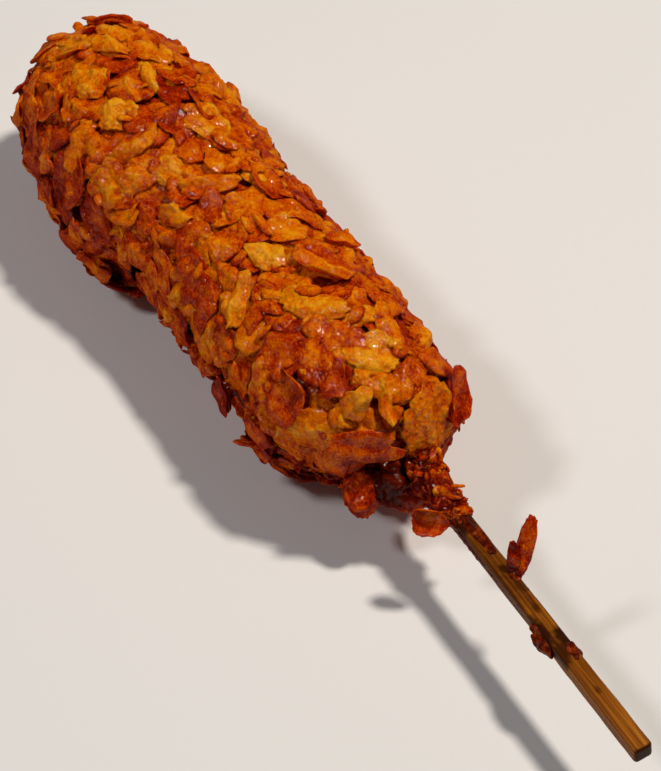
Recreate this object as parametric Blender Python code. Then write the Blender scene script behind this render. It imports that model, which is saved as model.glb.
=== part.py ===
"""A corn dog coated in fried cornflakes, lying on its side with its stick clear of the table.

The coated body runs along X, from its free end to the neck of batter round the stick. Every size
below is in millimetres, in the body's own frame: x = 0 is the free end, y = 0 is the body's axis and
z = 0 is the table. An angle round the axis is 0 at the top and grows towards -Y. The whole is then
moved so that the middle of its base is at the world's origin, and it is built in metres.
"""

import math
import random

import bmesh
import bpy
import numpy as np
from mathutils import Matrix, Vector

MM = 0.001
GAP = 0.3  # between two pieces that touch

# The coated body: two swells with a waist between them, and blunt round ends.
BODY_LENGTH = 160.0
AXIS_HEIGHT = 25.5  # a little less than the radius, so that the body rests on small flat spots
WAIST_RADIUS = 22.6
FAR_SWELL = (46.0, 22.0, 4.8)  # where it is, its half length and its height over the waist
NEAR_SWELL = (128.0, 22.0, 2.9)
END_ROUNDING = 28.0
END_BLUNTNESS = 2.4  # 2 is a round end, more is blunter

# The batter that runs from the body on to the stick.
NECK_ROOT_RADIUS = 8.0
NECK_TIP_RADIUS = 4.2
NECK_END = 182.0
NECK_TURNS_TO_STICK = (152.0, 162.0)  # past here the surface is centred on the stick, not on the body

# The coat of flakes that have fried together, as relief on the body. It dies down along the neck.
CRUST_STEPS_ROUND = 52
CRUST_STEPS_ALONG = 60
COAT_FLAKES = 330
COAT_HOLLOW = -2.0  # the floor between flakes, from the body's mean surface
COAT_LEVELS = (-1.5, 0.5)
COAT_TILT = 1.3  # how far a flake's leading end stands over its middle
COAT_CUPPING = 0.5
COAT_LEAST_SHARE = 0.25
COAT_FULL_RADIUS = 14.0

# The flakes that stand out from the coat, each in a shallow seat.
FLAKE_THICKNESS = 1.2
SEAT_DEPTH = 0.3
SEAT_MARGIN = 2.4
SEAT_FADE = 1.8
FLAKE_STEPS_ROUND = 12
FLAKE_RINGS = 4

# Along the body, angle round it, length, width, turn from +X in the surface, and lift of the rim.
UPPER_FLAKES = (
    (5, 72, 7, 6, 0, 2.4),
    (6, 35, 8, 8, 0, 1.6),
    (14, 20, 13, 8, -45, 2.0),
    (23, 48, 10, 9, 0, 1.4),
    (29, -18, 14, 8, -10, 1.2),
    (38, 10, 11, 10, 0, 1.4),
    (45, -30, 10, 8, 0, 1.2),
    (45, 67, 13, 12, 30, 1.8),
    (52, 22, 14, 7, -85, 1.2),
    (58, -15, 11, 10, 0, 1.2),
    (58.5, 49, 13, 11, 0, 1.4),
    (75, 7, 16, 7, -68, 1.2),
    (80, -25, 13, 8, 10, 1.8),
    (83, 66, 13, 5, 40, 1.4),
    (92, 22, 12, 10, 0, 1.2),
    (98, -12, 10, 9, 0, 1.4),
    (98, 57, 14, 11, 35, 1.6),
    (105, -40, 10, 5, -75, 2.4),
    (110, 36, 15, 7, 55, 1.4),
    (116, -10, 17, 9, -22, 2.6),
    (119, 89, 9, 5, 40, 3.0),
    (128, 16, 14, 8, -35, 1.4),
    (137, 53, 14, 12, -10, 1.8),
    (140, 82, 11, 6, 50, 1.6),
    (143, -4, 13, 10, -50, 1.4),
    (143, 26, 10, 6, 30, 1.6),
    (152, -30, 16, 13, 40, 2.0),
    (153, 55, 14, 8, -30, 1.6),
    (155.5, 105, 12, 8, 0, 1.6),
)
# The same on the sides and the back, spread by a seeded draw that keeps them apart.
SIDE_FLAKES = 11
SIDE_ANGLES = (-125, -55)
SIDE_SPACING = 16.0

# The stick: a square bar with rounded edges that grows thicker towards its butt.
STICK_TIP = Vector((56.0, 5.5, AXIS_HEIGHT))
STICK_BUTT = Vector((262.0, -1.6, AXIS_HEIGHT))
STICK_TIP_SIDE = 3.9
STICK_BUTT_SIDE = 5.0
STICK_EDGE_RADIUS = 0.9
STICK_TURN = 4.4  # degrees about its own axis

# The flakes and the drops of batter on the bare stick. Distances are from the stick's axis.
STICK_FLAKE = {
    "x": 204.3,
    "angle": -25.0,
    "root": 3.0,
    "rise": 14.2,
    "lean": -3.4,
    "width": 5.2,
    "fold": 0.35,
    "facing": 60.0,
}
NECK_FLAKE = {
    "x": 179.0,
    "angle": 84.0,
    "distance": 7.2,
    "length": 9.5,
    "width": 7.5,
    "fold": 0.2,
    "facing": 38.0,
}
# Along the body, angle round the stick, distance, length, width and height.
BATTER_DROPS = {
    "batter_streak": (190.0, 2.0, 2.4, 14.0, 3.4, 2.6),
    "batter_bead": (222.8, 100.0, 3.2, 7.5, 4.4, 4.2),
    "batter_lump": (229.5, -40.0, 2.6, 6.5, 3.2, 3.0),
}


# ---- The scene, its collections and its materials -------------------------------------------


def empty_scene():
    for thing in list(bpy.data.objects):
        bpy.data.objects.remove(thing, do_unlink=True)


def new_collection(name):
    collection = bpy.data.collections.new(name)
    bpy.context.scene.collection.children.link(collection)
    return collection


def food_material(name, colour, roughness):
    material = bpy.data.materials.new(name)
    material.use_nodes = True
    shader = material.node_tree.nodes["Principled BSDF"]
    shader.inputs["Base Color"].default_value = (*colour, 1.0)
    shader.inputs["Roughness"].default_value = roughness
    shader.inputs["Metallic"].default_value = 0.0
    return material


def new_object(name, bm, material, collection, parent):
    mesh = bpy.data.meshes.new(name)
    bmesh.ops.scale(bm, vec=(MM, MM, MM), verts=bm.verts)
    bmesh.ops.recalc_face_normals(bm, faces=bm.faces)
    bm.to_mesh(mesh)
    bm.free()
    mesh.materials.append(material)
    mesh.shade_smooth()
    mesh.set_sharp_from_angle(angle=math.radians(40))
    piece = bpy.data.objects.new(name, mesh)
    piece.parent = parent
    collection.objects.link(piece)
    return piece


# ---- The body's surface ---------------------------------------------------------------------


def smooth_step(value, low, high):
    t = np.clip((value - low) / (high - low), 0.0, 1.0)
    return t * t * (3.0 - 2.0 * t)


def body_radius(x):
    """The mean radius of the coat at x, round ends included."""
    radius = WAIST_RADIUS
    for centre, half_length, height in (FAR_SWELL, NEAR_SWELL):
        radius = radius + height * np.exp(-(((x - centre) / half_length) ** 2))
    from_end = np.clip(np.minimum(x, BODY_LENGTH - x) / END_ROUNDING, 0.0, 1.0)
    return radius * (1.0 - (1.0 - from_end) ** END_BLUNTNESS) ** (1.0 / END_BLUNTNESS)


def neck_radius(x, root):
    left = (NECK_END - x) / (NECK_END - root)
    return NECK_TIP_RADIUS + (NECK_ROOT_RADIUS - NECK_TIP_RADIUS) * left**2


def body_profile():
    """Points (x, radius) from the free end's pole to the neck's tip, closed at both."""
    turn = np.linspace(0.0, math.pi / 2, 60)
    far_end = END_ROUNDING * (1.0 - np.cos(turn))
    near_end = BODY_LENGTH - END_ROUNDING * (1.0 - np.sin(turn))
    straight = np.linspace(END_ROUNDING, BODY_LENGTH - END_ROUNDING, 120)[1:-1]
    x = np.concatenate([far_end, straight, near_end])
    body = np.stack([x, body_radius(x)], axis=1)
    body = body[(x < BODY_LENGTH / 2) | (body[:, 1] > NECK_ROOT_RADIUS)]
    root = body[-1, 0]
    neck_x = np.linspace(root, NECK_END, 30)[1:]
    neck = np.stack([neck_x, neck_radius(neck_x, root)], axis=1)
    tip = np.array([[NECK_END, 0.0]])
    return np.concatenate([body, neck, tip])


PROFILE = body_profile()
PROFILE_STEP = 0.6  # the profile's slope is read this far on either side
PROFILE_ARC = np.concatenate([[0.0], np.cumsum(np.linalg.norm(np.diff(PROFILE, axis=0), axis=1))])


def arc_at(x):
    """How far along the profile a place on the body is that lies at x."""
    return float(np.interp(x, PROFILE[:, 0], PROFILE_ARC))


def stick_centre(x):
    """The stick's axis at x, as (y, z)."""
    share = (x - STICK_TIP.x) / (STICK_BUTT.x - STICK_TIP.x)
    centre = STICK_TIP.lerp(STICK_BUTT, share)
    return centre.y, centre.z


def radial(angle):
    turn = math.radians(angle)
    return Vector((0.0, -math.sin(turn), math.cos(turn)))


def surface_frame(arc, angle):
    """A point of the mean surface, its outward normal, and the tangents along X and round the body."""
    x = np.interp(arc, PROFILE_ARC, PROFILE[:, 0])
    radius = np.interp(arc, PROFILE_ARC, PROFILE[:, 1])
    nearby = np.array([arc - PROFILE_STEP, arc + PROFILE_STEP])
    along_x = float(np.ptp(np.interp(nearby, PROFILE_ARC, PROFILE[:, 0])))
    along_r = float(np.diff(np.interp(nearby, PROFILE_ARC, PROFILE[:, 1]))[0])
    size = math.hypot(along_x, along_r)
    outward = radial(angle)
    shift = stick_centre(x)[0] * float(smooth_step(x, *NECK_TURNS_TO_STICK))
    point = Vector((x, shift, AXIS_HEIGHT)) + outward * radius
    normal = (Vector((-along_r, 0.0, 0.0)) + outward * along_x) / size
    tangent_x = (Vector((along_x, 0.0, 0.0)) + outward * along_r) / size
    return point, normal, tangent_x, radial(angle + 90.0)


def surface_point(arc, angle, lift):
    point, normal, _, _ = surface_frame(arc, angle)
    return point + normal * lift


# ---- The coat -------------------------------------------------------------------------------


def flake_axes(arc, angle, turn):
    """Where a flake lies, its outward normal, and the directions of its length and its width."""
    point, normal, tangent_x, tangent_round = surface_frame(arc, angle)
    a = math.radians(turn)
    lengthwise = tangent_x * math.cos(a) + tangent_round * math.sin(a)
    return point, normal, lengthwise, normal.cross(lengthwise)


def coat_flakes():
    """The flakes of the coat's relief: (frame, half length, half width, level), laid by a seeded draw."""
    draw = random.Random(11)
    flakes = []
    while len(flakes) < COAT_FLAKES:
        arc = draw.uniform(0.0, arc_at(BODY_LENGTH))
        radius = float(np.interp(arc, PROFILE_ARC, PROFILE[:, 1]))
        if draw.uniform(0.0, WAIST_RADIUS) > radius:
            continue
        frame = flake_axes(arc, draw.uniform(-180.0, 180.0), draw.uniform(-180.0, 180.0))
        half_length = draw.uniform(5.0, 7.5)
        half_width = half_length * draw.uniform(0.6, 0.9)
        flakes.append((frame, half_length, half_width, draw.uniform(*COAT_LEVELS)))
    return flakes


def flake_reach(points, frame, half_length, half_width):
    """How far along a flake each point lies, from -1 to 1, and how far out, from 0 to 1 at its rim."""
    centre, normal, lengthwise, widthwise = (np.array(v) for v in frame)
    from_centre = points - centre
    along = from_centre @ lengthwise / half_length
    reach = np.hypot(along, from_centre @ widthwise / half_width)
    return along, np.where(np.abs(from_centre @ normal) < half_length, reach, np.inf)


def coat_relief(points, radii, seats):
    """The coat's height over the mean surface: the highest flake at each point, and the big flakes' seats."""
    relief = np.full(len(points), COAT_HOLLOW)
    for frame, half_length, half_width, level in coat_flakes():
        along, reach = flake_reach(points, frame, half_length, half_width)
        height = level + COAT_TILT * along + COAT_CUPPING * np.minimum(reach, 1.0) ** 2
        relief = np.where(reach < 1.0, np.maximum(relief, height), relief)
    share = (radii - NECK_TIP_RADIUS) / (COAT_FULL_RADIUS - NECK_TIP_RADIUS)
    relief = relief * np.clip(share, COAT_LEAST_SHARE, 1.0)
    for frame, half_length, half_width in seats:
        _, whole = flake_reach(points, frame, half_length + SEAT_MARGIN, half_width + SEAT_MARGIN)
        edge = 1.0 + SEAT_FADE / (half_length + SEAT_MARGIN)
        seat = 1.0 - smooth_step(whole, 1.0, edge)
        relief = relief * (1.0 - seat) - SEAT_DEPTH * seat
    return relief


def make_crust(seats, material, collection, parent):
    """A ball whose rings are laid along the body's profile, with the coat's relief."""
    bm = bmesh.new()
    on_side = Matrix.Rotation(math.pi / 2, 4, "Y")
    bmesh.ops.create_uvsphere(
        bm, u_segments=CRUST_STEPS_ROUND, v_segments=CRUST_STEPS_ALONG, radius=1.0, matrix=on_side
    )
    places = []
    for vertex in bm.verts:
        share = math.acos(max(-1.0, min(1.0, -vertex.co.x))) / math.pi
        angle = math.degrees(math.atan2(-vertex.co.y, vertex.co.z))
        places.append((share * PROFILE_ARC[-1], angle))
    points = np.array([surface_point(arc, angle, 0.0) for arc, angle in places])
    radii = np.array([np.interp(arc, PROFILE_ARC, PROFILE[:, 1]) for arc, _ in places])
    relief = coat_relief(points, radii, seats)
    for vertex, (arc, angle), lift in zip(bm.verts, places, relief):
        vertex.co = surface_point(arc, angle, float(lift))
        vertex.co.z = max(vertex.co.z, 0.0)
    return new_object("crust", bm, material, collection, parent)


# ---- Flakes ---------------------------------------------------------------------------------


def flake_disc(half_length, half_width, seed):
    """A thin lens with an uneven outline: its points as (along, across, side), side from -1 to 1."""
    draw = random.Random(seed)
    waves = [(count, draw.uniform(0.02, 0.08), draw.uniform(0.0, 2.0 * math.pi)) for count in (2, 3, 5)]
    bm = bmesh.new()
    bmesh.ops.create_uvsphere(bm, u_segments=FLAKE_STEPS_ROUND, v_segments=FLAKE_RINGS, radius=1.0)
    for vertex in bm.verts:
        angle = math.atan2(vertex.co.y, vertex.co.x)
        dents = [size * (1.0 + math.sin(count * angle + start)) / 2 for count, size, start in waves]
        uneven = 1.0 - sum(dents)
        vertex.co.x *= half_length * uneven
        vertex.co.y *= half_width * uneven
    return bm


def make_surface_flake(name, row, seed, material, collection, parent):
    """A cupped flake that follows the body's surface, with its rim lifted off it."""
    x, angle, length, width, turn, rim_lift = row
    bm = flake_disc(length / 2, width / 2, seed)
    a = math.radians(turn)
    middle = arc_at(x)
    clear = -SEAT_DEPTH + GAP + 0.1 + FLAKE_THICKNESS / 2
    for vertex in bm.verts:
        along, across, side = vertex.co
        reach = math.hypot(along / (length / 2), across / (width / 2))
        arc = middle + along * math.cos(a) - across * math.sin(a)
        radius = float(np.interp(arc, PROFILE_ARC, PROFILE[:, 1]))
        round_way = math.degrees((along * math.sin(a) + across * math.cos(a)) / radius)
        lift = clear + rim_lift * reach**2 + side * FLAKE_THICKNESS / 2
        vertex.co = surface_point(arc, angle + round_way, lift)
    return new_object(name, bm, material, collection, parent)


def side_rows():
    """Rows like UPPER_FLAKES, for the sides and the back, kept apart from each other and from those."""
    draw = random.Random(5)
    taken = [surface_point(arc_at(row[0]), row[1], 0.0) for row in UPPER_FLAKES]
    rows = []
    while len(rows) < SIDE_FLAKES:
        x = draw.uniform(8.0, BODY_LENGTH - 12.0)
        angle = draw.uniform(*SIDE_ANGLES)
        place = surface_point(arc_at(x), angle, 0.0)
        length = draw.uniform(10.0, 14.0)
        width = length * draw.uniform(0.6, 0.85)
        row = (x, angle, length, width, draw.uniform(-90.0, 90.0), draw.uniform(1.2, 2.0))
        if min((place - other).length for other in taken) > SIDE_SPACING:
            taken.append(place)
            rows.append(row)
    return rows


# ---- The stick and what clings to it --------------------------------------------------------


def axes_at(place, lengthwise, upwards):
    """Local X along lengthwise, local Z as near to upwards as that leaves, and the origin at place."""
    lengthwise = lengthwise.normalized()
    widthwise = upwards.cross(lengthwise).normalized()
    axes = Matrix((lengthwise, widthwise, lengthwise.cross(widthwise))).transposed().to_4x4()
    return Matrix.Translation(place) @ axes


def stick_matrix(x):
    """A place on the stick's axis at x: local X points to the butt and local Z is square to the top face."""
    place = Vector((x, *stick_centre(x)))
    upright = axes_at(place, STICK_BUTT - STICK_TIP, Vector((0.0, 0.0, 1.0)))
    return upright @ Matrix.Rotation(math.radians(STICK_TURN), 4, "X")


def stick_bar(extra, past_tip):
    """The square bar, grown by extra on every side and by past_tip beyond its inner end."""
    along = (STICK_BUTT - STICK_TIP).normalized()
    length = (STICK_BUTT - STICK_TIP).length + past_tip
    bm = bmesh.new()
    bmesh.ops.create_cube(bm, size=1.0)
    for vertex in bm.verts:
        side = STICK_BUTT_SIDE if vertex.co.x > 0 else STICK_TIP_SIDE
        vertex.co.y *= side + 2 * extra
        vertex.co.z *= side + 2 * extra
        vertex.co.x *= length
    edges = [edge for edge in bm.edges if abs(edge.verts[0].co.x - edge.verts[1].co.x) > length / 2]
    bmesh.ops.bevel(
        bm,
        geom=edges,
        offset=STICK_EDGE_RADIUS + extra,
        segments=3,
        profile=0.5,
        affect="EDGES",
        material=-1,
    )
    middle = (STICK_TIP + STICK_BUTT - along * past_tip) / 2
    bmesh.ops.transform(bm, matrix=stick_matrix(middle.x), verts=bm.verts)
    return bm


def make_drop(name, row, room, material, collection, parent):
    """A drop of batter, pressed flat where it lies on the stick: a ball less the stick's room."""
    x, angle, distance, length, width, height = row
    bm = bmesh.new()
    bmesh.ops.create_uvsphere(bm, u_segments=12, v_segments=8, radius=0.5)
    bmesh.ops.scale(bm, vec=(length, width, height), verts=bm.verts)
    place = stick_matrix(x) @ Matrix.Rotation(math.radians(angle), 4, "X")
    bmesh.ops.transform(bm, matrix=place @ Matrix.Translation((0.0, 0.0, distance)), verts=bm.verts)
    drop = new_object(name, bm, material, collection, parent)
    cut(drop, room)
    return drop


def make_loose_flake(name, place, length, flake, seed, material, collection, parent):
    """A flake that stands free, folded along its middle line. Its place is its middle and its axes."""
    bm = flake_disc(length / 2, flake["width"] / 2, seed)
    for vertex in bm.verts:
        vertex.co.z = vertex.co.z * FLAKE_THICKNESS / 2 + flake["fold"] * abs(vertex.co.y)
    bmesh.ops.transform(bm, matrix=place, verts=bm.verts)
    return new_object(name, bm, material, collection, parent)


def make_stick_flake(material, collection, parent):
    """The flake that stands on the stick and leans back to the body."""
    outward = radial(STICK_FLAKE["angle"])
    rise = outward * STICK_FLAKE["rise"] + Vector((STICK_FLAKE["lean"], 0.0, 0.0))
    root = Vector((STICK_FLAKE["x"], *stick_centre(STICK_FLAKE["x"]))) + outward * STICK_FLAKE["root"]
    place = axes_at(root + rise / 2, rise, radial(STICK_FLAKE["facing"]))
    return make_loose_flake("stick_flake", place, rise.length, STICK_FLAKE, 71, material, collection, parent)


def make_neck_flake(material, collection, parent):
    """The flake that is stuck to the side of the neck."""
    on_axis = Vector((NECK_FLAKE["x"], *stick_centre(NECK_FLAKE["x"])))
    middle = on_axis + radial(NECK_FLAKE["angle"]) * NECK_FLAKE["distance"]
    place = axes_at(middle, Vector((1.0, 0.0, 0.0)), radial(NECK_FLAKE["facing"]))
    length = NECK_FLAKE["length"]
    return make_loose_flake("neck_flake", place, length, NECK_FLAKE, 72, material, collection, parent)


# ---- The whole ------------------------------------------------------------------------------


def cut(piece, cutter):
    modifier = piece.modifiers.new("room for the stick", "BOOLEAN")
    modifier.operation = "DIFFERENCE"
    modifier.solver = "EXACT"
    modifier.object = cutter


def make_room(name, extra, past_tip, collection, parent):
    """A cutter as wide as the stick and a gap round it."""
    guide = food_material(name, (0.5, 0.5, 0.5), 0.5)
    room = new_object(name, stick_bar(extra, past_tip), guide, collection, parent)
    room.hide_render = True
    room.display_type = "WIRE"
    return room


def stand_on_origin(parent, pieces):
    """Moves the whole so that the middle of its base is at the origin."""
    bpy.context.view_layer.update()
    graph = bpy.context.evaluated_depsgraph_get()
    points = []
    for piece in pieces:
        evaluated = piece.evaluated_get(graph)
        points += [evaluated.matrix_world @ vertex.co for vertex in evaluated.data.vertices]
    low = Vector([min(point[axis] for point in points) for axis in range(3)])
    high = Vector([max(point[axis] for point in points) for axis in range(3)])
    middle = (low + high) / 2
    parent.location = (-middle.x, -middle.y, -low.z)


def main():
    empty_scene()
    collection = new_collection("corn_dog")
    cutters = new_collection("cutters")
    cutters.hide_render = True
    whole = bpy.data.objects.new("corn_dog_base", None)
    collection.objects.link(whole)

    coat = food_material("glazed cornflake coat", (0.42, 0.12, 0.012), 0.35)
    flake = food_material("glazed cornflake", (0.55, 0.19, 0.015), 0.3)
    wood = food_material("bamboo", (0.36, 0.17, 0.05), 0.55)
    batter = food_material("fried batter", (0.14, 0.035, 0.008), 0.4)

    new_object("stick", stick_bar(0.0, 0.0), wood, collection, whole)
    room = make_room("stick_room", GAP, GAP, cutters, whole)

    rows = list(UPPER_FLAKES) + side_rows()
    seats = [(flake_axes(arc_at(row[0]), row[1], row[4]), row[2] / 2, row[3] / 2) for row in rows]
    crust = make_crust(seats, coat, collection, whole)
    cut(crust, room)
    for index, row in enumerate(rows, start=1):
        make_surface_flake(f"flake_{index:02d}", row, 100 + index, flake, collection, whole)

    make_stick_flake(flake, collection, whole)
    make_neck_flake(flake, collection, whole)
    for name, row in BATTER_DROPS.items():
        make_drop(name, row, room, batter, collection, whole)

    stand_on_origin(whole, [piece for piece in collection.objects if piece.type == "MESH"])


main()
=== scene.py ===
"""The looks of a corn dog: cornflakes fried on to a battered sausage, glazed, on a square wooden stick.

Lengths are in millimetres in the body's own frame, in which x = 0 is the free end, the body's axis
runs along X, and z = 0 is the table. An angle round the axis is 0 at the top and grows towards -Y.
Each mesh is moved and scaled to metres as it is finished.
"""

import math
import random

import bmesh
import bpy
import numpy as np
from mathutils import Matrix, Vector, noise
from mathutils.bvhtree import BVHTree
from mathutils.kdtree import KDTree


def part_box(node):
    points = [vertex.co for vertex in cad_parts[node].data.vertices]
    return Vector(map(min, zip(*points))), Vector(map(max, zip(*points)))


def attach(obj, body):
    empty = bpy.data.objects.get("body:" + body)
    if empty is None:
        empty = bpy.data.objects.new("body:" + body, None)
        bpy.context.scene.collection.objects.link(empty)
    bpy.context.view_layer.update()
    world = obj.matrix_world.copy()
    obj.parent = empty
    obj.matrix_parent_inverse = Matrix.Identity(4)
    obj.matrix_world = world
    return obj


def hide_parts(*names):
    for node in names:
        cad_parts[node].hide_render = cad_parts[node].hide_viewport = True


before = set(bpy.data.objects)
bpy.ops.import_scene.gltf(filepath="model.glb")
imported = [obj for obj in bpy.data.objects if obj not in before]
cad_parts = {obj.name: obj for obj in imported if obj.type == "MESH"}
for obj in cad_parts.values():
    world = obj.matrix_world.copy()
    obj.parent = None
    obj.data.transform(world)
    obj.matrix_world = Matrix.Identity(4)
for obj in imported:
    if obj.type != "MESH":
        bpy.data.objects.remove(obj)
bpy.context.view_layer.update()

# ---- The stick ------------------------------------------------------------------------------
# A disposable square stick of straight-grained wood that tapers towards the food. It is sawn and
# tumbled, so its edges are rounded and its faces wander a little. Oil and glaze have stained it
# brown up to where the last drops of batter hang, and past them the wood is bare.

STICK_LENGTH = 206.0
STICK_TIP_SIDE = 3.9
STICK_BUTT_SIDE = 5.0
STICK_EDGE_RADIUS = 1.0
STICK_TURN = 4.4
STICK_TIP_X = 56.0
STICK_BUTT_X = 262.0
STICK_TIP_Y = 5.5
STICK_BUTT_Y = -1.6
AXIS_HEIGHT = 25.5
MM = 0.001

stick_low, stick_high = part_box("stick")
stick_middle = (stick_low + stick_high) / 2
ORIGIN = Vector((stick_middle.x, stick_middle.y, stick_middle.z)) / MM - Vector(
    ((STICK_TIP_X + STICK_BUTT_X) / 2, (STICK_TIP_Y + STICK_BUTT_Y) / 2, AXIS_HEIGHT)
)


def colour(hex_value):
    """A six-digit sRGB hex colour as linear red, green, blue and alpha."""
    channels = [int(hex_value[i : i + 2], 16) / 255 for i in (1, 3, 5)]
    linear = [c / 12.92 if c <= 0.04045 else ((c + 0.055) / 1.055) ** 2.4 for c in channels]
    return (*linear, 1.0)


def add_node(tree, kind, values=None, **settings):
    """A new node. Settings are its properties; values are its inputs, each a number, a colour or a socket."""
    node = tree.nodes.new(kind)
    for name, value in settings.items():
        setattr(node, name, value)
    for name, value in (values or {}).items():
        if isinstance(value, bpy.types.NodeSocket):
            tree.links.new(value, node.inputs[name])
        else:
            node.inputs[name].default_value = value
    return node


def new_material(name):
    material = bpy.data.materials.new(name)
    material.use_nodes = True
    material.node_tree.nodes.clear()
    return material


def ramp(tree, value, stops):
    """A colour ramp on value, with stops as (place, hex colour)."""
    node = add_node(tree, "ShaderNodeValToRGB", {"Fac": value})
    elements = node.color_ramp.elements
    while len(elements) < len(stops):
        elements.new(0.5)
    for element, (place, hex_value) in zip(elements, stops):
        element.position = place
        element.color = colour(hex_value)
    return node.outputs["Color"]


def finish_piece(bm, name, material, nodes):
    """Writes the mesh in metres, makes its object, and hides the CAD nodes it stands for."""
    bmesh.ops.recalc_face_normals(bm, faces=bm.faces)
    bmesh.ops.translate(bm, vec=ORIGIN, verts=bm.verts)
    bmesh.ops.scale(bm, vec=(MM, MM, MM), verts=bm.verts)
    mesh = bpy.data.meshes.new(name)
    bm.to_mesh(mesh)
    bm.free()
    mesh.shade_smooth()
    mesh.materials.append(material)
    piece = bpy.data.objects.new(name, mesh)
    bpy.context.scene.collection.objects.link(piece)
    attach(piece, "root")
    if nodes:
        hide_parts(*nodes)
    return piece


def stick_axis(x):
    """The stick's axis at x."""
    share = (x - STICK_TIP_X) / (STICK_BUTT_X - STICK_TIP_X)
    return Vector((x, STICK_TIP_Y + share * (STICK_BUTT_Y - STICK_TIP_Y), AXIS_HEIGHT))


def radial(angle):
    turn = math.radians(angle)
    return Vector((0.0, -math.sin(turn), math.cos(turn)))


def smooth_step(value, low, high):
    t = np.clip((value - low) / (high - low), 0.0, 1.0)
    return t * t * (3.0 - 2.0 * t)


# Along the body, angle round the stick, length and width of each stain.
STICK_STAINS = (
    (182.0, 60.0, 14.0, 8.0, 1.0),
    (190.0, 0.0, 40.0, 11.0, 0.3),
    (196.0, 100.0, 40.0, 7.0, 0.6),
    (184.0, 0.0, 8.0, 5.0, 0.9),
    (207.5, -20.0, 5.0, 3.0, 0.75),
    (211.5, -10.0, 3.5, 2.0, 0.45),
    (214.8, -5.0, 3.0, 1.8, 0.8),
    (210.0, 60.0, 12.0, 2.5, 0.6),
    (222.0, 70.0, 14.0, 4.5, 1.0),
    (225.5, -35.0, 7.0, 4.5, 1.0),
    (228.5, 30.0, 6.0, 5.5, 0.9),
    (231.5, 55.0, 4.0, 3.0, 0.9),
    (242.5, 5.0, 2.6, 1.2, 0.7),
)


def make_stick():
    bm = bmesh.new()
    bmesh.ops.create_cube(bm, size=1.0)
    bmesh.ops.scale(bm, vec=(STICK_LENGTH, STICK_BUTT_SIDE, STICK_BUTT_SIDE), verts=bm.verts)
    bmesh.ops.bevel(
        bm, geom=bm.edges[:], offset=STICK_EDGE_RADIUS, segments=4, profile=0.5, affect="EDGES", material=-1
    )
    long_edges = [e for e in bm.edges if abs(e.verts[0].co.x - e.verts[1].co.x) > STICK_LENGTH / 2]
    bmesh.ops.subdivide_edges(bm, edges=long_edges, cuts=240, use_grid_fill=True)
    wide = [
        e
        for e in bm.edges
        if abs(e.verts[0].co.x - e.verts[1].co.x) < 0.1
        and (e.verts[0].co - e.verts[1].co).length > STICK_BUTT_SIDE / 3
    ]
    bmesh.ops.subdivide_edges(bm, edges=wide, cuts=5, use_grid_fill=True)
    stain = bm.verts.layers.float.new("stain")
    along = bm.verts.layers.float_vector.new("grain_place")
    taper = (STICK_BUTT_SIDE - STICK_TIP_SIDE) / STICK_LENGTH / STICK_BUTT_SIDE
    direction = (stick_axis(STICK_BUTT_X) - stick_axis(STICK_TIP_X)).normalized()
    side = Vector((0.0, 0.0, 1.0)).cross(direction).normalized()
    turned = Matrix((direction, side, direction.cross(side))).transposed() @ Matrix.Rotation(
        math.radians(STICK_TURN), 3, "X"
    )
    middle = stick_axis((STICK_TIP_X + STICK_BUTT_X) / 2)
    for vertex in bm.verts:
        vertex[along] = vertex.co
        size = 1.0 - taper * (STICK_LENGTH / 2 - vertex.co.x)
        place = Vector((vertex.co.x * 0.12, vertex.co.y * 0.5, vertex.co.z * 0.5))
        wander = noise.noise(place) * 0.16 + noise.noise(place * 3.1) * 0.06
        outward = Vector((0.0, vertex.co.y, vertex.co.z)).normalized()
        vertex.co.y *= size
        vertex.co.z *= size
        vertex.co += outward * wander
        vertex.co = middle + turned @ vertex.co
        out = vertex.co - stick_axis(vertex.co.x)
        amount = 0.0
        for x, angle, length, width, strength in STICK_STAINS:
            toward = radial(angle) * STICK_BUTT_SIDE / 2
            apart = out - toward
            ragged = 0.25 * noise.noise(vertex.co * 0.9)
            reach = math.hypot((vertex.co.x - x) / (length / 2), apart.length / (width / 2)) + ragged
            amount = max(amount, strength * min(1.0, max(0.0, (1.25 - reach) / 0.5)))
        # The butt's end face is coloured as dark as the darkest stain.
        butt_face_darkening = 1.0 * float(smooth_step(vertex[along].x, STICK_LENGTH / 2 - 0.8, STICK_LENGTH / 2 - 0.2))
        vertex[stain] = max(amount, butt_face_darkening)
    return bm


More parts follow.
